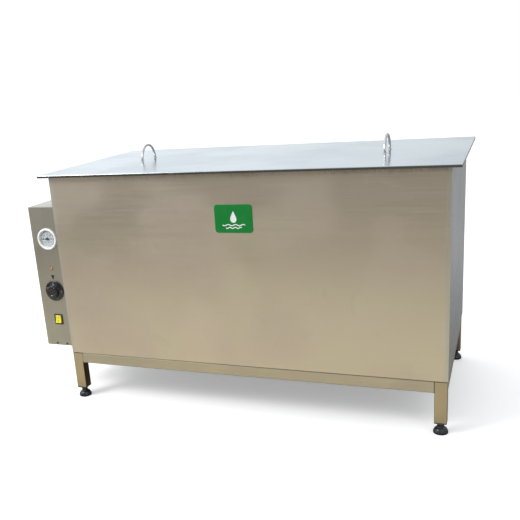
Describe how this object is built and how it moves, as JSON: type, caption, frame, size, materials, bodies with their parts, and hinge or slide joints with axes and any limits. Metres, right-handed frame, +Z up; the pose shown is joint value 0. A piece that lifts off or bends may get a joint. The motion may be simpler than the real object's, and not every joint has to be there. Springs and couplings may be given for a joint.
{
  "type": "heated bulk tank",
  "caption": "Rectangular insulated stainless vat with a flat lift-off lid, on a tube frame with levelling feet, with a control box at one end and a rear drain valve.",
  "frame": {"origin": "on the floor, at the bottom centre of the whole object's box", "axes": "+X along the tank, away from the control box; -Y is the front with the name plate and the controls; +Z up"},
  "size_m": [1.1756, 0.6324, 0.7083],
  "materials": {
    "brushed_casing": "satin rolled stainless sheet",
    "vat_steel": "smooth stainless sheet",
    "frame_tube": "satin stainless tube",
    "insulation": "mineral wool slab",
    "black_plastic": "moulded nylon",
    "foot_rubber": "moulded nylon with a slight shine",
    "zinc_steel": "zinc-plated steel",
    "terminal_plastic": "moulded polyamide",
    "white_bezel": "glossy white moulding",
    "dial_face": "printed dial",
    "black_needle": "black paint",
    "clear_lens": "clear flat lens",
    "knob_gloss": "glossy moulded plastic",
    "switch_black": "moulded plastic",
    "switch_yellow": "translucent yellow moulding",
    "amber_lens": "translucent amber moulding",
    "copper_tube": "drawn copper",
    "element_sheath": "dark stainless tube",
    "brass_nut": "turned brass",
    "valve_steel": "cast and turned stainless",
    "grip_blue": "dipped vinyl sleeve",
    "badge_green": "printed plate",
    "lid_steel": "bright stainless sheet",
    "handle_rod": "polished stainless bar"
  },
  "bodies": {
    "tank": {"vat_wrap": "vat_steel", "vat_end_left": "vat_steel", "vat_end_right": "vat_steel", "vat_rim": "vat_steel", "casing_front": "brushed_casing", "casing_rear": "brushed_casing", "casing_left": "brushed_casing", "casing_right": "brushed_casing", "casing_base_plate": "brushed_casing", "insulation_sides": "insulation", "insulation_bottom": "insulation", "leg_front_left": "frame_tube", "leg_front_right": "frame_tube", "leg_rear_left": "frame_tube", "leg_rear_right": "frame_tube", "rail_front": "frame_tube", "rail_rear": "frame_tube", "rail_left": "frame_tube", "rail_right": "frame_tube", "leg_inserts": "black_plastic", "foot_lock_nuts": "zinc_steel", "heating_element_outer": "element_sheath", "heating_element_inner": "element_sheath", "element_nuts": "brass_nut", "probe_pockets": "vat_steel", "thermostat_probe": "copper_tube", "thermometer_probe": "copper_tube", "control_box_cover": "brushed_casing", "control_box_bottom": "brushed_casing", "control_box_backplate": "brushed_casing", "control_box_screws": "zinc_steel", "terminal_block": "terminal_plastic", "cable_gland": "black_plastic", "thermometer_case": "white_bezel", "thermometer_dial": "dial_face", "thermometer_lens": "clear_lens", "thermostat_body": "black_plastic", "switch_body": "switch_black", "pilot_lamp": "amber_lens", "drain_pipe": "vat_steel", "drain_valve_body": "valve_steel", "badge_plate": "badge_green"},
    "lid": {"lid_sheet": "lid_steel", "lid_channels": "lid_steel", "lid_handle_left": "handle_rod", "lid_handle_right": "handle_rod"},
    "lift_floor": {"lift_floor_plate": "vat_steel", "lift_floor_runners": "vat_steel"},
    "knob": {"thermostat_knob": "knob_gloss", "thermostat_spindle": "zinc_steel"},
    "needle": {"thermometer_needle": "black_needle"},
    "rocker": {"switch_rocker": "switch_yellow"},
    "drain_handle": {"drain_valve_ball": "valve_steel", "drain_valve_stem": "valve_steel", "drain_lever": "valve_steel", "drain_lever_grip": "grip_blue"},
    "foot_front_left": {"levelling_foot_front_left": "foot_rubber"},
    "foot_front_right": {"levelling_foot_front_right": "foot_rubber"},
    "foot_rear_left": {"levelling_foot_rear_left": "foot_rubber"},
    "foot_rear_right": {"levelling_foot_rear_right": "foot_rubber"}
  },
  "joints": [
    {"name": "lid_lift", "type": "slide", "parent": "tank", "child": "lid", "axis": [0, 0, 1], "range_m": [0, 0.25]},
    {"name": "floor_lift", "type": "slide", "parent": "tank", "child": "lift_floor", "axis": [0, 0, 1], "range_m": [0, 0.39]},
    {"name": "knob_turn", "type": "hinge", "parent": "tank", "child": "knob", "pos_m": [-0.53575, -0.26475, 0.319], "axis": [0, 1, 0], "range_deg": [0, 270]},
    {"name": "needle_sweep", "type": "hinge", "parent": "tank", "child": "needle", "pos_m": [-0.53575, -0.26475, 0.474], "axis": [0, 1, 0], "range_deg": [-45, 225]},
    {"name": "rocker_press", "type": "hinge", "parent": "tank", "child": "rocker", "pos_m": [-0.53575, -0.26375, 0.231], "axis": [-1, 0, 0], "range_deg": [0, 16]},
    {"name": "drain_turn", "type": "hinge", "parent": "tank", "child": "drain_handle", "pos_m": [0.44125, 0.28025, 0.19035], "axis": [0, 0, -1], "range_deg": [0, 90]},
    {"name": "foot_front_left_adjust", "type": "slide", "parent": "tank", "child": "foot_front_left", "axis": [0, 0, -1], "range_m": [0, 0.02]},
    {"name": "foot_front_right_adjust", "type": "slide", "parent": "tank", "child": "foot_front_right", "axis": [0, 0, -1], "range_m": [0, 0.02]},
    {"name": "foot_rear_left_adjust", "type": "slide", "parent": "tank", "child": "foot_rear_left", "axis": [0, 0, -1], "range_m": [0, 0.02]},
    {"name": "foot_rear_right_adjust", "type": "slide", "parent": "tank", "child": "foot_rear_right", "axis": [0, 0, -1], "range_m": [0, 0.02]}
  ]
}
